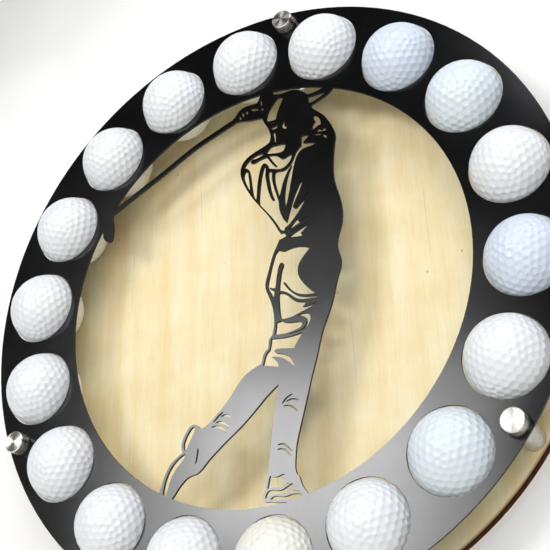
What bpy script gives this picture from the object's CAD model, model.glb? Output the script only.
from math import cos, pi, radians, sin

import bmesh
import bpy
import numpy as np
from bpy.props import (
    FloatProperty,
    FloatVectorProperty,
    IntProperty,
    PointerProperty,
    StringProperty,
)
from mathutils import Euler, Matrix, Vector


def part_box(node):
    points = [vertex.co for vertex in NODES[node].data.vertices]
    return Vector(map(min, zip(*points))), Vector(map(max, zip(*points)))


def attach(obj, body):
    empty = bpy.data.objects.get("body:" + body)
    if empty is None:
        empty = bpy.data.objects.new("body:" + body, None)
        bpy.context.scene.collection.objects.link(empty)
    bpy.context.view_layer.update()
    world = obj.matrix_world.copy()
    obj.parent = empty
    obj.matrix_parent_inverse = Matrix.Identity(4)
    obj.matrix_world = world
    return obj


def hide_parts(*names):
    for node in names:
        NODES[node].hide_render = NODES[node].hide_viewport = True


bl_info = {
    "name": "Golf ball display case",
    "version": (1, 0, 0),
    "blender": (4, 5, 0),
    "location": "3D Viewport > Sidebar > Display case",
    "description": "Finishes, dimpled balls and studio for a round wall display of golf balls",
    "category": "Object",
}

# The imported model: metres, +Z up, the wall at Y = 0 and the viewer on the -Y side.
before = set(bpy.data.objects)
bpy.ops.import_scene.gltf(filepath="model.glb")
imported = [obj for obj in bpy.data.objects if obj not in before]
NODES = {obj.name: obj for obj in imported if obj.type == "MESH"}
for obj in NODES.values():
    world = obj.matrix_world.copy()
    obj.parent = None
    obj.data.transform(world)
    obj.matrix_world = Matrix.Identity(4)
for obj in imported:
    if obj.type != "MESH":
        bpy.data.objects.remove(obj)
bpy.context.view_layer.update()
STANDOFFS = ("top", "left", "right")
BALL_NAMES = sorted(name for name in NODES if name.startswith("golf_ball_"))

FULL_TURN = 2 * pi
MM = 1000  # millimetres in a metre

# Scales of Mapping nodes: from metres to millimetres, and down to the X and Z of a point.
IN_MM = (MM, MM, MM)
FLATTENED = (1, 0, 1)

# Balls: what starts the random turns, and the subdivisions of the sphere that takes the dimples.
TURN_SEED = 18
SPHERE_LEVELS = 7

# Camera: sensor width in millimetres, shift in frame widths, nearest distance drawn in metres.
SENSOR_WIDTH = 36
CAMERA_SHIFT = (-0.0171, -0.0509)
NEAREST_DRAWN = 0.01

# Stage, in metres: where the lamps point, the backdrop sheet's place, radius and lap behind the
# board, and the floor's half width and level.
DISPLAY_MIDDLE = Vector((0, -0.03, 0))
SHEET_PLACE = 0.0006
SHEET_RADIUS = 3.2
SHEET_LAP = 0.0007
SHEET_STEPS = 128
FLOOR_HALF_WIDTH = 4
FLOOR_LEVEL = -1.25


def middle(node):
    """The centre of a node's box."""
    low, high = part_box(node)
    return (low + high) / 2


def across(node):
    """A node's width, in metres."""
    low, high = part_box(node)
    return high.x - low.x


# ---- colours and nodes ----


def linear(colour):
    """An sRGB hex colour such as "#d8c49a" as the linear values, with alpha, of a socket."""
    parts = [int(colour.lstrip("#")[i : i + 2], 16) / 255 for i in (0, 2, 4)]
    return tuple(c / 12.92 if c <= 0.04045 else ((c + 0.055) / 1.055) ** 2.4 for c in parts) + (1,)


def per_size(x, y, z):
    """The scale of a pattern that is this many millimetres wide along each axis."""
    return (1 / x, 1 / y, 1 / z)


def add(tree, kind, inputs=None, stops=(), **settings):
    """Adds one node. An input is a plain value, or another node's output to link. The stops are the
    (place, sRGB hex) pairs of a node that has a colour ramp."""
    node = tree.nodes.new(kind)
    for name, value in settings.items():
        setattr(node, name, value)
    for name, value in (inputs or {}).items():
        if isinstance(value, bpy.types.NodeSocket):
            tree.links.new(value, node.inputs[name])
        else:
            node.inputs[name].default_value = value
    while stops and len(node.color_ramp.elements) < len(stops):
        node.color_ramp.elements.new(0.5)
    for index, (where, colour) in enumerate(stops):
        mark = node.color_ramp.elements[index]
        mark.position, mark.color = where, linear(colour)
    return node


def new_material(name):
    """An empty node material and its tree."""
    material = bpy.data.materials.new(name)
    material.use_nodes = True
    material.node_tree.nodes.clear()
    return material, material.node_tree


def on_cut_wall(tree, place):
    """1 on the cut walls of a sheet, which face away from Y, and 0 on its two faces."""
    facing = add(tree, "ShaderNodeSeparateXYZ", {"Vector": place.outputs["Normal"]})
    upright = add(tree, "ShaderNodeMath", {0: facing.outputs["Y"]}, operation="ABSOLUTE")
    wall = add(tree, "ShaderNodeMath", {0: upright.outputs["Value"], 1: 0.5}, operation="LESS_THAN")
    return wall.outputs["Value"]


def seen_plainly(tree, gloss=True):
    """1 for a ray from the camera, or one that comes by way of glass or gloss, otherwise 0."""
    ray = add(tree, "ShaderNodeLightPath")
    seen = add(tree, "ShaderNodeMath", {
        0: ray.outputs["Is Camera Ray"], 1: ray.outputs["Is Transmission Ray"],
    }, operation="MAXIMUM")
    if gloss:
        seen = add(tree, "ShaderNodeMath", {
            0: seen.outputs["Value"], 1: ray.outputs["Is Glossy Ray"],
        }, operation="MAXIMUM")
    return seen.outputs["Value"]


def matt_with_glow(tree, colour, strength):
    """A matt surface that also glows a little in its own colour, but only where it is seen."""
    matt = add(tree, "ShaderNodeBsdfDiffuse", {"Color": colour})
    glow = add(tree, "ShaderNodeEmission", {"Color": colour, "Strength": strength})
    both = add(tree, "ShaderNodeAddShader", {0: matt.outputs[0], 1: glow.outputs[0]})
    return add(tree, "ShaderNodeMixShader", {
        "Fac": seen_plainly(tree), 1: matt.outputs[0], 2: both.outputs[0],
    })


def dress(node, material):
    """Gives a node of the model its finish and leaves its mesh alone."""
    piece = NODES[node]
    if not piece.material_slots:
        piece.data.materials.append(None)
    for each in piece.material_slots:
        each.material = material


# ---- finishes: every pattern is drawn in millimetres ----


def powder_coat(settings):
    """Black polyester powder coat on laser-cut mild steel, baked to a smooth satin: nearly black,
    with a broad soft sheen, faint orange peel and a slightly dull, uneven film."""
    material, tree = new_material("Satin black powder coat")
    place = add(tree, "ShaderNodeTexCoord")
    mm = add(tree, "ShaderNodeMapping", {
        "Vector": place.outputs["Object"], "Scale": IN_MM,
    }).outputs["Vector"]
    # The film lies thicker and thinner in patches some 22 mm across.
    film = add(tree, "ShaderNodeTexNoise", {"Vector": mm, "Scale": 1 / 22, "Detail": 3.0})
    peel = add(tree, "ShaderNodeTexNoise", {
        "Vector": mm, "Scale": 1 / settings.orange_peel, "Detail": 2.0, "Roughness": 0.45,
    })
    base = add(tree, "ShaderNodeValToRGB", {"Fac": film.outputs["Fac"]}, stops=(
        (0.3, settings.paint), (0.75, settings.paint_thin),
    ))
    # Powder that landed as dust: rare lighter grains, half a millimetre across and 7 mm apart.
    grains = add(tree, "ShaderNodeTexVoronoi", {"Vector": mm, "Scale": 1 / 7})
    dust = add(tree, "ShaderNodeMapRange", {
        "Value": grains.outputs["Distance"],
        "From Min": 0.02, "From Max": 0.05, "To Min": 1.0, "To Max": 0.0,
    })
    colour = add(tree, "ShaderNodeMix", {
        "Factor": dust.outputs["Result"], "A": base.outputs["Color"], "B": linear("#2a2a2c"),
    }, data_type="RGBA")
    face_dull = add(tree, "ShaderNodeMapRange", {
        "Value": film.outputs["Fac"], "From Min": 0.3, "From Max": 0.7,
        "To Min": settings.sheen - 0.015, "To Max": settings.sheen + 0.02,
    })
    # The film lies thin and rough over the laser's striations on the cut walls.
    dull = add(tree, "ShaderNodeMix", {
        "Factor": on_cut_wall(tree, place), "A": face_dull.outputs["Result"], "B": 0.6,
    })
    bump = add(tree, "ShaderNodeBump", {
        "Height": peel.outputs["Fac"], "Strength": 0.2, "Distance": 0.00001,
    })
    shader = add(tree, "ShaderNodeBsdfPrincipled", {
        "Base Color": colour.outputs["Result"],
        "Roughness": dull.outputs["Result"],
        "IOR": 1.5,
        "Specular IOR Level": 0.51,
        "Normal": bump.outputs["Normal"],
    })
    add(tree, "ShaderNodeOutputMaterial", {"Surface": shader.outputs["BSDF"]})
    return material


def sealed_plywood(settings):
    """Pale rotary-cut poplar plywood under a thin clear sealer, cut out by laser: creamy faces with
    fine, nearly upright grain and a few pin specks, and a rim burnt dark brown."""
    material, tree = new_material("Sealed poplar plywood")
    place = add(tree, "ShaderNodeTexCoord")
    mm = add(tree, "ShaderNodeMapping", {
        "Vector": place.outputs["Object"], "Rotation": (0, settings.grain_lean, 0), "Scale": IN_MM,
    }).outputs["Vector"]
    # The growth rings wander slowly sideways, by up to 9 mm, and the grain follows them.
    slow = add(tree, "ShaderNodeMapping", {"Vector": mm, "Scale": per_size(30, 30, 140)})
    wander = add(tree, "ShaderNodeTexNoise", {
        "Vector": slow.outputs["Vector"], "Scale": 1.0, "Detail": 2.0,
    })
    shift = add(tree, "ShaderNodeVectorMath", {
        0: wander.outputs["Color"], 1: (9.0, 9.0, 0.0),
    }, operation="MULTIPLY")
    grain = add(tree, "ShaderNodeVectorMath", {
        0: mm, 1: shift.outputs["Vector"],
    }, operation="ADD").outputs["Vector"]
    # Broad bands, then the fibres, which are drawn wider than real ones so that they show.
    broad = add(tree, "ShaderNodeMapping", {"Vector": grain, "Scale": per_size(13, 13, 420)})
    bands = add(tree, "ShaderNodeTexNoise", {
        "Vector": broad.outputs["Vector"], "Scale": 1.0, "Detail": 3.0, "Roughness": 0.55,
    })
    fine = add(tree, "ShaderNodeMapping", {
        "Vector": grain, "Scale": per_size(settings.fibre, settings.fibre, 20),
    })
    fibres = add(tree, "ShaderNodeTexNoise", {
        "Vector": fine.outputs["Vector"], "Scale": 1.0, "Detail": 2.0, "Roughness": 0.6,
    })
    blotches = add(tree, "ShaderNodeTexNoise", {
        "Vector": mm, "Scale": 1 / 24, "Detail": 4.0, "Roughness": 0.6,
    })
    face = add(tree, "ShaderNodeValToRGB", {"Fac": bands.outputs["Fac"]}, stops=(
        (0.3, settings.veneer_dark), (0.55, settings.veneer), (0.8, settings.veneer_pale),
    )).outputs["Color"]
    for pattern, share, stops in (
        (fibres, 0.8, ((0.3, "#faf5ea"), (0.62, "#ffffff"))),
        (blotches, 0.7, ((0.35, "#f8efdf"), (0.62, "#ffffff"))),
    ):
        tone = add(tree, "ShaderNodeValToRGB", {"Fac": pattern.outputs["Fac"]}, stops=stops)
        face = add(tree, "ShaderNodeMix", {
            "Factor": share, "A": face, "B": tone.outputs["Color"],
        }, data_type="RGBA", blend_type="MULTIPLY").outputs["Result"]
    # Hairline checks in the veneer: faint, 0.3 mm wide, and a few centimetres long.
    aside = add(tree, "ShaderNodeSeparateXYZ", {"Vector": grain})
    line = add(tree, "ShaderNodeMath", {
        0: aside.outputs["X"], 1: settings.check_space / 2,
    }, operation="PINGPONG")
    line = add(tree, "ShaderNodeMath", {0: line.outputs["Value"], 1: 0.16}, operation="LESS_THAN")
    run = add(tree, "ShaderNodeMapping", {
        "Vector": mm, "Scale": per_size(settings.check_space, settings.check_space, 60),
    })
    reach = add(tree, "ShaderNodeTexNoise", {
        "Vector": run.outputs["Vector"], "Scale": 1.0, "Detail": 0.0,
    })
    reach = add(tree, "ShaderNodeMapRange", {
        "Value": reach.outputs["Fac"],
        "From Min": 0.5, "From Max": 0.62, "To Min": 0.0, "To Max": 0.3,
    })
    check = add(tree, "ShaderNodeMath", {
        0: line.outputs["Value"], 1: reach.outputs["Result"],
    }, operation="MULTIPLY")
    # Pin knots and pores: brown specks about a millimetre wide, some 15 mm apart.
    sparse = add(tree, "ShaderNodeMapping", {"Vector": mm, "Scale": per_size(15, 15, 26)})
    pores = add(tree, "ShaderNodeTexVoronoi", {"Vector": sparse.outputs["Vector"], "Scale": 1.0})
    pore = add(tree, "ShaderNodeMapRange", {
        "Value": pores.outputs["Distance"],
        "From Min": 0.02, "From Max": 0.045, "To Min": 0.55, "To Max": 0.0,
    })
    # The laser's scorch fades out over a millimetre and a half in from the rim.
    rim = across("backboard") * MM / 2
    flat = add(tree, "ShaderNodeMapping", {"Vector": mm, "Scale": FLATTENED})
    radius = add(tree, "ShaderNodeVectorMath", {0: flat.outputs["Vector"]}, operation="LENGTH")
    scorch = add(tree, "ShaderNodeMapRange", {
        "Value": radius.outputs["Value"],
        "From Min": rim - 1.6, "From Max": rim - 0.1, "To Min": 0.0, "To Max": 0.75,
    }, interpolation_type="SMOOTHSTEP")
    # Walls of the rim and holes: burnt wood in bands 2.4 mm thick, under streaks that run through
    # the thickness.
    depth = add(tree, "ShaderNodeSeparateXYZ", {"Vector": mm})
    plies = add(tree, "ShaderNodeMath", {0: depth.outputs["Y"], 1: 2.4}, operation="PINGPONG")
    through = add(tree, "ShaderNodeMapping", {"Vector": mm, "Scale": per_size(0.9, 12, 0.9)})
    streaks = add(tree, "ShaderNodeTexNoise", {
        "Vector": through.outputs["Vector"], "Scale": 1.0, "Detail": 3.0,
    })
    char = add(tree, "ShaderNodeMath", {
        0: plies.outputs["Value"], 1: 0.22, 2: streaks.outputs["Fac"],
    }, operation="MULTIPLY_ADD")
    burnt = add(tree, "ShaderNodeValToRGB", {"Fac": char.outputs["Value"]}, stops=(
        (0.35, "#1c0b03"), (0.7, settings.burnt), (1.0, "#55290d"),
    ))
    wall = on_cut_wall(tree, place)
    colour = face
    for share, mark in (
        (check.outputs["Value"], linear("#a98d5e")),
        (pore.outputs["Result"], linear("#8a6234")),
        (scorch.outputs["Result"], linear(settings.scorch)),
        (wall, burnt.outputs["Color"]),
    ):
        colour = add(tree, "ShaderNodeMix", {
            "Factor": share, "A": colour, "B": mark,
        }, data_type="RGBA").outputs["Result"]
    # The sealed face has a little gloss, and char has none.
    face_dull = add(tree, "ShaderNodeMapRange", {
        "Value": fibres.outputs["Fac"],
        "From Min": 0.3, "From Max": 0.7, "To Min": 0.5, "To Max": 0.62,
    })
    dull = add(tree, "ShaderNodeMix", {
        "Factor": wall, "A": face_dull.outputs["Result"], "B": 0.95,
    })
    bump = add(tree, "ShaderNodeBump", {
        "Height": fibres.outputs["Fac"], "Strength": 0.2, "Distance": 0.00006,
    })
    shader = add(tree, "ShaderNodeBsdfPrincipled", {
        "Base Color": colour,
        "Roughness": dull.outputs["Result"],
        "IOR": 1.45,
        "Specular IOR Level": 0.15,
        "Normal": bump.outputs["Normal"],
    })
    add(tree, "ShaderNodeOutputMaterial", {"Surface": shader.outputs["BSDF"]})
    return material


def ball_cover(name, white, settings):
    """Moulded ionomer under two coats of clear urethane: an even white with a wet, slightly soft
    gloss, and the odd duller patch where a ball has been handled."""
    material, tree = new_material(name)
    place = add(tree, "ShaderNodeTexCoord")
    mm = add(tree, "ShaderNodeMapping", {
        "Vector": place.outputs["Object"], "Scale": IN_MM,
    }).outputs["Vector"]
    # Handled patches are some 9 mm across, and the moulding's flow ripples 1.1 mm.
    handled = add(tree, "ShaderNodeTexNoise", {
        "Vector": mm, "Scale": 1 / 9, "Detail": 4.0, "Roughness": 0.6,
    })
    flow = add(tree, "ShaderNodeTexNoise", {"Vector": mm, "Scale": 1 / 1.1, "Detail": 1.0})
    worn = add(tree, "ShaderNodeValToRGB", {"Fac": handled.outputs["Fac"]}, stops=(
        (0.35, "#f6f6f3"), (0.6, "#ffffff"),
    ))
    colour = add(tree, "ShaderNodeMix", {
        "Factor": 0.5, "A": linear(white), "B": worn.outputs["Color"],
    }, data_type="RGBA", blend_type="MULTIPLY")
    dull = add(tree, "ShaderNodeMapRange", {
        "Value": handled.outputs["Fac"], "From Min": 0.35, "From Max": 0.75,
        "To Min": settings.gloss_roughness, "To Max": settings.gloss_roughness + 0.12,
    })
    bump = add(tree, "ShaderNodeBump", {
        "Height": flow.outputs["Fac"], "Strength": 0.15, "Distance": 0.00003,
    })
    shader = add(tree, "ShaderNodeBsdfPrincipled", {
        "Base Color": colour.outputs["Result"],
        "Roughness": dull.outputs["Result"],
        "IOR": 1.49,
        "Coat Weight": 0.35,
        "Coat Roughness": 0.2,
        "Coat IOR": 1.5,
        "Normal": bump.outputs["Normal"],
    })
    add(tree, "ShaderNodeOutputMaterial", {"Surface": shader.outputs["BSDF"]})
    return material


def turned_steel(which, settings):
    """Stainless steel turned on a lathe and lightly polished: every face is grooved round the axis,
    so a lamp spreads across the grooves, as a bow tie on an end and as a stripe along a side."""
    material, tree = new_material(f"Turned stainless steel, {which} standoff")
    axis = middle(f"cap_{which}") * MM
    place = add(tree, "ShaderNodeTexCoord")
    mm = add(tree, "ShaderNodeMapping", {
        "Vector": place.outputs["Object"], "Location": (-axis.x, 0, -axis.z), "Scale": IN_MM,
    }).outputs["Vector"]
    # One number that grows along a side and across an end, so one set of rings covers both. The
    # real tool marks are under 0.1 mm apart and are drawn wider here, so that they show.
    flat = add(tree, "ShaderNodeMapping", {"Vector": mm, "Scale": FLATTENED})
    radius = add(tree, "ShaderNodeVectorMath", {0: flat.outputs["Vector"]}, operation="LENGTH")
    depth = add(tree, "ShaderNodeSeparateXYZ", {"Vector": mm})
    step = add(tree, "ShaderNodeMath", {
        0: radius.outputs["Value"], 1: depth.outputs["Y"],
    }, operation="SUBTRACT")
    marks = add(tree, "ShaderNodeTexNoise", {
        "W": step.outputs["Value"], "Scale": 1 / settings.tool_mark, "Detail": 2.0,
    }, noise_dimensions="1D")
    smear = add(tree, "ShaderNodeTexNoise", {"Vector": mm, "Scale": 1 / 3.5, "Detail": 3.0})
    colour = add(tree, "ShaderNodeValToRGB", {"Fac": marks.outputs["Fac"]}, stops=(
        (0.25, settings.steel_dark), (0.7, settings.steel),
    ))
    dull = add(tree, "ShaderNodeMapRange", {
        "Value": smear.outputs["Fac"],
        "From Min": 0.3, "From Max": 0.75, "To Min": 0.22, "To Max": 0.31,
    })
    bump = add(tree, "ShaderNodeBump", {
        "Height": marks.outputs["Fac"], "Strength": 0.25, "Distance": 0.00003,
    })
    grooves = add(tree, "ShaderNodeTangent", direction_type="RADIAL", axis="Y")
    shader = add(tree, "ShaderNodeBsdfPrincipled", {
        "Base Color": colour.outputs["Color"],
        "Metallic": 1.0,
        "Roughness": dull.outputs["Result"],
        "Anisotropic": 0.9,
        "Anisotropic Rotation": 0.25,
        "Tangent": grooves.outputs["Tangent"],
        "Normal": bump.outputs["Normal"],
    })
    add(tree, "ShaderNodeOutputMaterial", {"Surface": shader.outputs["BSDF"]})
    return material


def clear_vinyl():
    """Soft clear PVC, die-cut from sheet: see-through, a shade greenish, with bright lines along
    its rims."""
    material, tree = new_material("Clear soft vinyl")
    place = add(tree, "ShaderNodeTexCoord")
    mm = add(tree, "ShaderNodeMapping", {
        "Vector": place.outputs["Object"], "Scale": IN_MM,
    }).outputs["Vector"]
    haze = add(tree, "ShaderNodeTexNoise", {"Vector": mm, "Scale": 1 / 2, "Detail": 3.0})
    colour = add(tree, "ShaderNodeValToRGB", {"Fac": haze.outputs["Fac"]}, stops=(
        (0.3, "#e3e8e5"), (0.7, "#f2f5f3"),
    ))
    dull = add(tree, "ShaderNodeMapRange", {
        "Value": haze.outputs["Fac"],
        "From Min": 0.3, "From Max": 0.7, "To Min": 0.04, "To Max": 0.1,
    })
    bump = add(tree, "ShaderNodeBump", {
        "Height": haze.outputs["Fac"], "Strength": 0.1, "Distance": 0.00002,
    })
    shader = add(tree, "ShaderNodeBsdfPrincipled", {
        "Base Color": colour.outputs["Color"],
        "Roughness": dull.outputs["Result"],
        "IOR": 1.53,
        "Transmission Weight": 0.97,
        "Normal": bump.outputs["Normal"],
    })
    add(tree, "ShaderNodeOutputMaterial", {"Surface": shader.outputs["BSDF"]})
    return material


def zinc_plate():
    """Bright zinc plating on a steel screw with rolled threads: greyish, a little mottled, with
    bands along the thread."""
    material, tree = new_material("Bright zinc plating")
    place = add(tree, "ShaderNodeTexCoord")
    mm = add(tree, "ShaderNodeMapping", {
        "Vector": place.outputs["Object"], "Scale": IN_MM,
    }).outputs["Vector"]
    depth = add(tree, "ShaderNodeSeparateXYZ", {"Vector": mm})
    bands = add(tree, "ShaderNodeTexNoise", {
        "W": depth.outputs["Y"], "Scale": 1 / 0.5, "Detail": 1.0,
    }, noise_dimensions="1D")
    mottle = add(tree, "ShaderNodeTexNoise", {"Vector": mm, "Scale": 1 / 1.2, "Detail": 3.0})
    colour = add(tree, "ShaderNodeValToRGB", {"Fac": mottle.outputs["Fac"]}, stops=(
        (0.3, "#9c9ea0"), (0.7, "#c3c5c6"),
    ))
    dull = add(tree, "ShaderNodeMapRange", {
        "Value": mottle.outputs["Fac"],
        "From Min": 0.3, "From Max": 0.7, "To Min": 0.28, "To Max": 0.45,
    })
    bump = add(tree, "ShaderNodeBump", {
        "Height": bands.outputs["Fac"], "Strength": 0.3, "Distance": 0.00005,
    })
    shader = add(tree, "ShaderNodeBsdfPrincipled", {
        "Base Color": colour.outputs["Color"],
        "Metallic": 1.0,
        "Roughness": dull.outputs["Result"],
        "Normal": bump.outputs["Normal"],
    })
    add(tree, "ShaderNodeOutputMaterial", {"Surface": shader.outputs["BSDF"]})
    return material


# ---- settings ----


class PlateSettings(bpy.types.PropertyGroup):
    """Finish of the front plate"""

    paint: StringProperty(name="Paint", description="Colour of the powder coat", default="#070708")
    paint_thin: StringProperty(
        name="Thin paint", description="Colour where the coat is thinner", default="#0b0b0c"
    )
    sheen: FloatProperty(
        name="Sheen roughness", description="Roughness of the satin film", default=0.14,
        min=0.05, max=0.6,
    )
    orange_peel: FloatProperty(
        name="Orange peel", description="Width of one ripple of the film, in millimetres",
        default=0.8, min=0.1,
    )


class BoardSettings(bpy.types.PropertyGroup):
    """Finish of the backboard"""

    veneer: StringProperty(
        name="Veneer", description="Main colour of the face", default="#faeec8"
    )
    veneer_pale: StringProperty(
        name="Pale veneer", description="Lightest bands of the face", default="#fcf4d6"
    )
    veneer_dark: StringProperty(
        name="Dark veneer", description="Darkest bands of the face", default="#f5e3b4"
    )
    scorch: StringProperty(
        name="Scorch", description="Colour next to a burnt edge", default="#8a5a28"
    )
    burnt: StringProperty(
        name="Burnt edge", description="Colour of the laser-cut rim", default="#381807"
    )
    fibre: FloatProperty(
        name="Fibre", description="Width of a grain fibre, in millimetres", default=0.7, min=0.1
    )
    grain_lean: FloatProperty(
        name="Grain lean", description="How far the grain leans from upright",
        default=radians(8), subtype="ANGLE", unit="ROTATION",
    )
    check_space: FloatProperty(
        name="Check space", description="Space between hairline checks, in millimetres",
        default=47, min=5,
    )


class BallSettings(bpy.types.PropertyGroup):
    """Shape and finish of the balls"""

    diameter: FloatProperty(
        name="Diameter", description="Ball across its lands", default=across(BALL_NAMES[0]),
        subtype="DISTANCE", unit="LENGTH", precision=5,
    )
    dimple_depth: FloatProperty(
        name="Dimple depth", description="Depth at a dimple's middle", default=0.00040,
        subtype="DISTANCE", unit="LENGTH", precision=5,
    )
    dimple_share: FloatProperty(
        name="Dimple width",
        description="A dimple's width as a share of the space between two centres",
        default=0.93, min=0.5, max=1.0, subtype="FACTOR",
    )
    dimple_cuts: IntProperty(
        name="Dimple rows",
        description="Cuts along each edge of the twenty-sided pattern of dimples",
        default=5, min=2, max=8,
    )
    cover: StringProperty(name="Cover", description="White of most balls", default="#f3f6f9")
    cover_cool: StringProperty(
        name="Cool cover", description="White of the cooler balls", default="#e7f1f7"
    )
    cover_blue: StringProperty(
        name="Blue cover", description="White of the bluest balls", default="#dfe9f8"
    )
    cover_warm: StringProperty(
        name="Warm cover", description="White of the creamy ball", default="#f7f6ec"
    )
    gloss_roughness: FloatProperty(
        name="Gloss roughness", description="Roughness of the cover under its clear coat",
        default=0.34, min=0.02, max=0.6,
    )


class SteelSettings(bpy.types.PropertyGroup):
    """Finish of the barrels and caps"""

    steel: StringProperty(
        name="Steel", description="Colour of the tops of the tool marks", default="#dcd9d3"
    )
    steel_dark: StringProperty(
        name="Dark steel", description="Colour between the tool marks", default="#b3aea5"
    )
    tool_mark: FloatProperty(
        name="Tool mark", description="Space between tool marks, in millimetres",
        default=0.22, min=0.02,
    )


class StageSettings(bpy.types.PropertyGroup):
    """Camera and lamps"""

    camera_place: FloatVectorProperty(
        name="Camera place", description="Where the camera stands",
        default=(0.29855, -0.52287, -0.22630), subtype="TRANSLATION", unit="LENGTH", precision=4,
    )
    camera_turn: FloatVectorProperty(
        name="Camera turn", description="How the camera is turned",
        default=(radians(113.566), radians(-5.304), radians(27.796)),
        subtype="EULER", unit="ROTATION",
    )
    lens: FloatProperty(
        name="Lens", description="Focal length, in millimetres", default=75.83, min=10
    )
    world: FloatProperty(
        name="Room", description="Strength of the room's own light", default=0.035, min=0
    )
    key: FloatProperty(
        name="Key", description="Softbox left of the viewer, brighter in the middle",
        default=30, min=0, unit="POWER",
    )
    right: FloatProperty(
        name="Right", description="Softbox right of the viewer", default=11.2, min=0, unit="POWER"
    )
    top: FloatProperty(
        name="Top", description="Softbox above the viewer", default=16.6, min=0, unit="POWER"
    )
    high: FloatProperty(
        name="High", description="Softbox high on the right", default=10, min=0, unit="POWER"
    )
    front: FloatProperty(
        name="Front", description="Softbox straight in front", default=11.7, min=0, unit="POWER"
    )
    back: FloatProperty(
        name="Back", description="Each softbox behind the display", default=27, min=0,
        unit="POWER",
    )


# ---- operators ----


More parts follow.
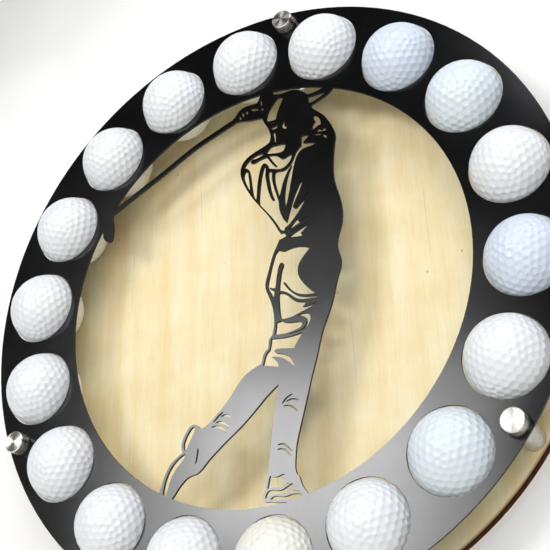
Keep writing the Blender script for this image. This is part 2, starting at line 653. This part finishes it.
class DISPLAY_OT_stage(bpy.types.Operator):
    """Camera, softboxes, floor and backdrop"""

    bl_idname = "display.stage"
    bl_label = "Stage"

    def execute(self, context):
        scene = context.scene
        settings = scene.display_stage
        scene.view_settings.view_transform = "Standard"
        self.place_camera(scene, settings)
        self.place_lamps(scene, settings)
        self.build_world(scene, settings)
        self.build_wall(scene)
        self.build_floor(scene)
        return {"FINISHED"}

    def place_camera(self, scene, settings):
        """Stands the camera right of the display and below it, looking up."""
        camera = bpy.data.objects.new("camera", bpy.data.cameras.new("camera"))
        camera.location = settings.camera_place
        camera.rotation_euler = Euler(settings.camera_turn)
        camera.data.lens = settings.lens
        camera.data.sensor_width = SENSOR_WIDTH
        camera.data.shift_x, camera.data.shift_y = CAMERA_SHIFT
        camera.data.clip_start = NEAREST_DRAWN
        scene.collection.objects.link(camera)
        scene.camera = camera

    def place_lamps(self, scene, settings):
        """Softboxes that all point at the display. The key is three, laid over each other."""
        lamps = (
            # name, turn and rise in degrees, distance, width, height, power, colour
            ("key_middle", -27, 11, 3.0, 0.68, 0.47, settings.key * 0.26, "#ffffff"),
            ("key_edge", -27, 10.5, 3.0, 1.15, 0.86, settings.key * 0.6, "#ffffff"),
            ("key_spill", -28.5, 14, 3.0, 1.25, 1.25, settings.key * 0.14, "#ffffff"),
            ("right", 25, 2, 2.4, 1.2, 1.0, settings.right, "#fffdf8"),
            ("top", 5, 48, 2.2, 1.2, 1.0, settings.top, "#f8faff"),
            ("high_right", 45, 45, 2.2, 1.2, 1.0, settings.high, "#f2f6ff"),
            ("front", 2, -3, 2.6, 1.0, 0.8, settings.front, "#f8faff"),
            ("back_left", -150, 25, 2.2, 1.2, 1.2, settings.back, "#ffffff"),
            ("back_right", 150, 35, 2.2, 1.2, 1.2, settings.back, "#ffffff"),
        )
        for name, turn, rise, far, wide, tall, power, colour in lamps:
            lamp = bpy.data.lights.new(name, "AREA")
            lamp.shape = "RECTANGLE"
            lamp.size, lamp.size_y = wide, tall
            lamp.energy = power
            lamp.color = linear(colour)[:3]
            softbox = bpy.data.objects.new(name, lamp)
            a, e = radians(turn), radians(rise)
            away = Vector((sin(a) * cos(e), -cos(a) * cos(e), sin(e)))
            softbox.location = DISPLAY_MIDDLE + far * away
            aim = (DISPLAY_MIDDLE - softbox.location).to_track_quat("-Z", "Y")
            softbox.rotation_euler = aim.to_euler()
            scene.collection.objects.link(softbox)

    def build_world(self, scene, settings):
        """Even dim room light. Past the backdrop and through the clear washers the room is plain
        white, but not in gloss, where it would turn the black plate grey."""
        scene.world = bpy.data.worlds.new("Studio")
        scene.world.use_nodes = True
        tree = scene.world.node_tree
        tree.nodes.clear()
        room, white = (
            add(tree, "ShaderNodeBackground", {"Color": linear("#ffffff"), "Strength": strength})
            for strength in (settings.world, 1.0)
        )
        seen = add(tree, "ShaderNodeMixShader", {
            "Fac": seen_plainly(tree, gloss=False), 1: room.outputs[0], 2: white.outputs[0],
        })
        add(tree, "ShaderNodeOutputWorld", {"Surface": seen.outputs[0]})

    def build_wall(self, scene):
        """The pale sheet that the display hangs on. Only its front shows, and it has a hole that
        the backboard covers, so that the display can be seen and lit from behind."""
        material, tree = new_material("Matt white backdrop sheet")
        # The sheet lies a little greyer towards its upper left, with soft waves, eleven to a metre.
        place = add(tree, "ShaderNodeTexCoord")
        waves = add(tree, "ShaderNodeTexNoise", {
            "Vector": place.outputs["Object"], "Scale": 11.0, "Detail": 2.0, "Roughness": 0.4,
        })
        slope = add(tree, "ShaderNodeVectorMath", {
            0: place.outputs["Object"], 1: (-0.65, 0, 0.76),
        }, operation="DOT_PRODUCT")
        spread = add(tree, "ShaderNodeMath", {
            0: waves.outputs["Fac"], 1: 0.09, 2: slope.outputs["Value"],
        }, operation="MULTIPLY_ADD")
        tone = add(tree, "ShaderNodeMapRange", {
            "Value": spread.outputs["Value"], "From Min": 0.26, "From Max": 0.44,
        }, interpolation_type="SMOOTHSTEP")
        sheet = add(tree, "ShaderNodeValToRGB", {"Fac": tone.outputs["Result"]}, stops=(
            (0.0, "#f6f5f2"), (1.0, "#c9c8c4"),
        ))
        front = matt_with_glow(tree, sheet.outputs["Color"], 0.1)
        side = add(tree, "ShaderNodeNewGeometry")
        clear = add(tree, "ShaderNodeBsdfTransparent")
        one_sided = add(tree, "ShaderNodeMixShader", {
            "Fac": side.outputs["Backfacing"], 1: front.outputs[0], 2: clear.outputs[0],
        })
        add(tree, "ShaderNodeOutputMaterial", {"Surface": one_sided.outputs[0]})
        shape = bmesh.new()
        hole = across("backboard") / 2 - SHEET_LAP
        ends = [shape.verts.new((x, SHEET_PLACE, 0)) for x in (hole, SHEET_RADIUS)]
        line = shape.edges.new(ends)
        bmesh.ops.spin(
            shape, geom=[*ends, line], cent=(0, SHEET_PLACE, 0), axis=(0, 1, 0),
            angle=FULL_TURN, steps=SHEET_STEPS, use_merge=True,
        )
        shape.normal_update()
        backward = [face for face in shape.faces if face.normal.y > 0]
        bmesh.ops.reverse_faces(shape, faces=backward)
        self.link_mesh(scene, "backdrop", shape, material)

    def build_floor(self, scene):
        """A wide pale floor, well below the display."""
        material, tree = new_material("Matt pale floor")
        seen = matt_with_glow(tree, linear("#efeeea"), 0.45)
        add(tree, "ShaderNodeOutputMaterial", {"Surface": seen.outputs[0]})
        shape = bmesh.new()
        bmesh.ops.create_grid(shape, x_segments=1, y_segments=1, size=FLOOR_HALF_WIDTH)
        bmesh.ops.translate(shape, verts=shape.verts, vec=(0, 0, FLOOR_LEVEL))
        self.link_mesh(scene, "floor", shape, material)

    def link_mesh(self, scene, name, shape, material):
        """A new object made from a bmesh, which is freed."""
        mesh = bpy.data.meshes.new(name)
        shape.to_mesh(mesh)
        shape.free()
        mesh.materials.append(material)
        piece = bpy.data.objects.new(name, mesh)
        scene.collection.objects.link(piece)
        return piece


class DISPLAY_OT_front_plate(bpy.types.Operator):
    """Powder-coated steel ring and golfer"""

    bl_idname = "display.front_plate"
    bl_label = "Front plate"

    def execute(self, context):
        dress("front_plate", powder_coat(context.scene.display_plate))
        return {"FINISHED"}


class DISPLAY_OT_backboard(bpy.types.Operator):
    """Sealed plywood board with a burnt rim"""

    bl_idname = "display.backboard"
    bl_label = "Backboard"

    def execute(self, context):
        dress("backboard", sealed_plywood(context.scene.display_board))
        return {"FINISHED"}


class DISPLAY_OT_golf_balls(bpy.types.Operator):
    """Eighteen dimpled golf balls, each turned its own way"""

    bl_idname = "display.golf_balls"
    bl_label = "Golf balls"

    def execute(self, context):
        settings = context.scene.display_balls
        whites = {
            "white": settings.cover,
            "cool white": settings.cover_cool,
            "blue white": settings.cover_blue,
            "warm white": settings.cover_warm,
        }
        covers = {
            name: ball_cover(f"Golf ball cover, {name}", colour, settings)
            for name, colour in whites.items()
        }
        # The balls come from several makers and years, so five of the whites differ.
        odd = {
            "golf_ball_02": "blue white",
            "golf_ball_03": "cool white",
            "golf_ball_05": "blue white",
            "golf_ball_07": "cool white",
            "golf_ball_09": "warm white",
        }
        pattern = self.dimpled_sphere(settings)
        chance = np.random.default_rng(TURN_SEED)
        for name in BALL_NAMES:
            mesh = pattern.copy()
            mesh.name = f"dimpled_{name}"
            turn = Euler(chance.uniform(0, FULL_TURN, 3)).to_matrix().to_4x4()
            mesh.transform(Matrix.Translation(middle(name)) @ turn)
            mesh.materials.append(covers[odd.get(name, "white")])
            ball = bpy.data.objects.new(f"dimpled_{name}", mesh)
            context.scene.collection.objects.link(ball)
            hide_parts(name)
            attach(ball, name.replace("golf_ball", "ball"))
        bpy.data.meshes.remove(pattern)
        return {"FINISHED"}

    def dimpled_sphere(self, settings):
        """A finely divided sphere with shallow round dimples centred on a coarser one's points."""
        coarse = bmesh.new()
        bmesh.ops.create_icosphere(coarse, subdivisions=1, radius=1.0)
        bmesh.ops.subdivide_edges(
            coarse, edges=coarse.edges, cuts=settings.dimple_cuts, use_grid_fill=True
        )
        centres = np.array([v.co.normalized() for v in coarse.verts])
        coarse.free()
        fine = bmesh.new()
        bmesh.ops.create_icosphere(fine, subdivisions=SPHERE_LEVELS, radius=1.0)
        mesh = bpy.data.meshes.new("dimpled_sphere")
        fine.to_mesh(mesh)
        fine.free()
        # Neighbouring dimples nearly touch.
        between = centres @ centres.T
        np.fill_diagonal(between, -1)
        space = np.arccos(np.clip(between.max(axis=1), -1, 1))
        half_width = space * settings.dimple_share / 2
        points = np.empty(len(mesh.vertices) * 3, np.float32)
        mesh.vertices.foreach_get("co", points)
        points = points.reshape(-1, 3)
        points /= np.linalg.norm(points, axis=1)[:, None]
        # Each point sinks by how near it lies to the closest dimple's centre.
        nearness = points @ centres.T.astype(np.float32)
        nearest = nearness.argmax(axis=1)
        off = np.arccos(np.clip(nearness.max(axis=1), -1, 1)) / half_width[nearest]
        bowl = np.clip(1 - off**2, 0, 1)
        points *= (settings.diameter / 2 - settings.dimple_depth * bowl)[:, None]
        mesh.vertices.foreach_set("co", points.ravel())
        mesh.shade_smooth()
        return mesh


class DISPLAY_OT_standoffs(bpy.types.Operator):
    """Turned steel barrels and caps, and the soft washers under the caps"""

    bl_idname = "display.standoffs"
    bl_label = "Standoffs"

    def execute(self, context):
        vinyl = clear_vinyl()
        for which in STANDOFFS:
            steel = turned_steel(which, context.scene.display_steel)
            dress(f"barrel_{which}", steel)
            dress(f"cap_{which}", steel)
            dress(f"washer_{which}", vinyl)
        return {"FINISHED"}


class DISPLAY_OT_fixings(bpy.types.Operator):
    """Plated studs and board screws"""

    bl_idname = "display.fixings"
    bl_label = "Fixings"

    def execute(self, context):
        zinc = zinc_plate()
        for which in STANDOFFS:
            dress(f"stud_{which}", zinc)
            dress(f"board_screw_{which}", zinc)
        return {"FINISHED"}


class DISPLAY_PT_panel(bpy.types.Panel):
    """Everything that dresses the display"""

    bl_idname = "DISPLAY_PT_panel"
    bl_label = "Display case"
    bl_space_type = "VIEW_3D"
    bl_region_type = "UI"
    bl_category = "Display case"

    def draw(self, context):
        for operator in OPERATORS:
            self.layout.operator(operator.bl_idname)


OPERATORS = (
    DISPLAY_OT_stage,
    DISPLAY_OT_front_plate,
    DISPLAY_OT_backboard,
    DISPLAY_OT_golf_balls,
    DISPLAY_OT_standoffs,
    DISPLAY_OT_fixings,
)
SETTINGS = {
    "display_plate": PlateSettings,
    "display_board": BoardSettings,
    "display_balls": BallSettings,
    "display_steel": SteelSettings,
    "display_stage": StageSettings,
}


def register():
    for each in (*SETTINGS.values(), *OPERATORS, DISPLAY_PT_panel):
        bpy.utils.register_class(each)
    for name, group in SETTINGS.items():
        setattr(bpy.types.Scene, name, PointerProperty(type=group))


def unregister():
    for name in SETTINGS:
        delattr(bpy.types.Scene, name)
    for each in (DISPLAY_PT_panel, *reversed(OPERATORS), *reversed(SETTINGS.values())):
        bpy.utils.unregister_class(each)


def main():
    """Dresses the display."""
    register()
    bpy.ops.display.stage()
    bpy.ops.display.front_plate()
    bpy.ops.display.backboard()
    bpy.ops.display.golf_balls()
    bpy.ops.display.standoffs()
    bpy.ops.display.fixings()


if __name__ == "__main__":
    main()
